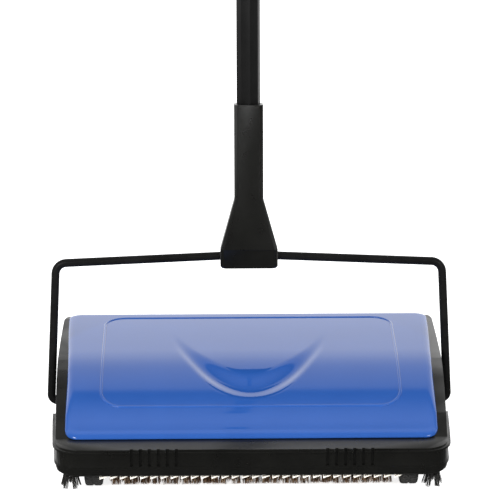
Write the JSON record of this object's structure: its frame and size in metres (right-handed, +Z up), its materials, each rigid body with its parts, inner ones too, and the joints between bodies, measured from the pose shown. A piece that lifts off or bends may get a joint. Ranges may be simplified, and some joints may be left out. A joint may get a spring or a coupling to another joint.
{
  "type": "carpet sweeper",
  "caption": "Push carpet sweeper with a low wedge body, blue top cover, brush roller, rubber-blade roller, dust pans and a long handle on a wire bail.",
  "frame": {"origin": "centre of the footprint of the whole object, handle included, on the floor", "axes": "+Z up, -Y towards the front edge of the body, +Y the way the handle leans, +X along the rollers"},
  "size_m": [0.2936, 0.3494, 1.0684],
  "materials": {
    "black_plastic": "moulded, semi-gloss",
    "blue_cover": "high gloss",
    "pale_nylon": "matt",
    "dark_nylon": "matt",
    "black_wire": "gloss black enamel",
    "black_tube": "satin black enamel",
    "steel": "zinc plated",
    "tyre_rubber": "matt rubber",
    "blade_rubber": "matt rubber",
    "grip": "matt, ribbed",
    "core_wood": "plain turned wood",
    "bristle": "natural hog bristle",
    "black_bristle": "black nylon bristle"
  },
  "bodies": {
    "housing": {"housing": "black_plastic", "top_cover": "blue_cover", "front_comb": "pale_nylon", "rear_comb": "pale_nylon", "cover_screws": "steel", "bail_bush_left": "dark_nylon", "bail_bush_right": "dark_nylon", "front_axle_bushes": "pale_nylon", "rear_axle_bushes": "pale_nylon", "front_pan_pin": "steel", "rear_pan_pin": "steel", "front_pan_springs": "steel", "rear_pan_springs": "steel", "corner_pins": "steel"},
    "handle": {"bail_wire": "black_wire", "bail_push_nuts": "steel", "handle_socket": "black_plastic", "socket_screw": "steel", "lower_tube": "black_tube", "middle_tube": "black_tube", "upper_tube": "black_tube", "lower_joint_plug": "steel", "upper_joint_plug": "steel", "lower_joint_collar": "black_plastic", "upper_joint_collar": "black_plastic", "grip": "grip", "grip_end_cap": "black_plastic"},
    "front_roller": {"front_axle": "steel", "front_brush_core": "core_wood", "front_bristles": "bristle", "front_wheel_left": "dark_nylon", "front_wheel_right": "dark_nylon", "front_tyre_left": "tyre_rubber", "front_tyre_right": "tyre_rubber"},
    "rear_roller": {"rear_axle": "steel", "rear_rotor_core": "core_wood", "rear_blades": "blade_rubber", "rear_wheel_left": "dark_nylon", "rear_wheel_right": "dark_nylon", "rear_tyre_left": "tyre_rubber", "rear_tyre_right": "tyre_rubber"},
    "front_dust_pan": {"front_pan": "dark_nylon"},
    "rear_dust_pan": {"rear_pan": "dark_nylon"},
    "corner_brush_front_left": {"corner_hub_front_left": "dark_nylon", "corner_tufts_front_left": "black_bristle"},
    "corner_brush_front_right": {"corner_hub_front_right": "dark_nylon", "corner_tufts_front_right": "black_bristle"},
    "corner_brush_rear_left": {"corner_hub_rear_left": "dark_nylon", "corner_tufts_rear_left": "black_bristle"},
    "corner_brush_rear_right": {"corner_hub_rear_right": "dark_nylon", "corner_tufts_rear_right": "black_bristle"}
  },
  "joints": [
    {"name": "handle_tilt", "type": "hinge", "parent": "housing", "child": "handle", "pos_m": [0, -0.05576, 0.03], "axis": [-1, 0, 0], "range_deg": [-12, 73]},
    {"name": "front_roller_spin", "type": "hinge", "parent": "housing", "child": "front_roller", "pos_m": [0, -0.13376, 0.023], "axis": [1, 0, 0], "continuous": true},
    {"name": "rear_roller_spin", "type": "hinge", "parent": "housing", "child": "rear_roller", "pos_m": [0, -0.01776, 0.023], "axis": [1, 0, 0], "continuous": true},
    {"name": "front_pan_open", "type": "hinge", "parent": "housing", "child": "front_dust_pan", "pos_m": [0, -0.10476, 0.013], "axis": [-1, 0, 0], "range_deg": [0, 70], "stiffness_Nm_per_rad": 0.15, "springref_deg": -28.65},
    {"name": "rear_pan_open", "type": "hinge", "parent": "housing", "child": "rear_dust_pan", "pos_m": [0, -0.04676, 0.013], "axis": [1, 0, 0], "range_deg": [0, 70], "stiffness_Nm_per_rad": 0.15, "springref_deg": -28.65},
    {"name": "corner_spin_front_left", "type": "hinge", "parent": "housing", "child": "corner_brush_front_left", "pos_m": [-0.126, -0.15776, 0.022], "axis": [0, 0, 1], "continuous": true},
    {"name": "corner_spin_front_right", "type": "hinge", "parent": "housing", "child": "corner_brush_front_right", "pos_m": [0.126, -0.15776, 0.022], "axis": [0, 0, 1], "continuous": true},
    {"name": "corner_spin_rear_left", "type": "hinge", "parent": "housing", "child": "corner_brush_rear_left", "pos_m": [-0.126, 0.00624, 0.022], "axis": [0, 0, 1], "continuous": true},
    {"name": "corner_spin_rear_right", "type": "hinge", "parent": "housing", "child": "corner_brush_rear_right", "pos_m": [0.126, 0.00624, 0.022], "axis": [0, 0, 1], "continuous": true}
  ]
}
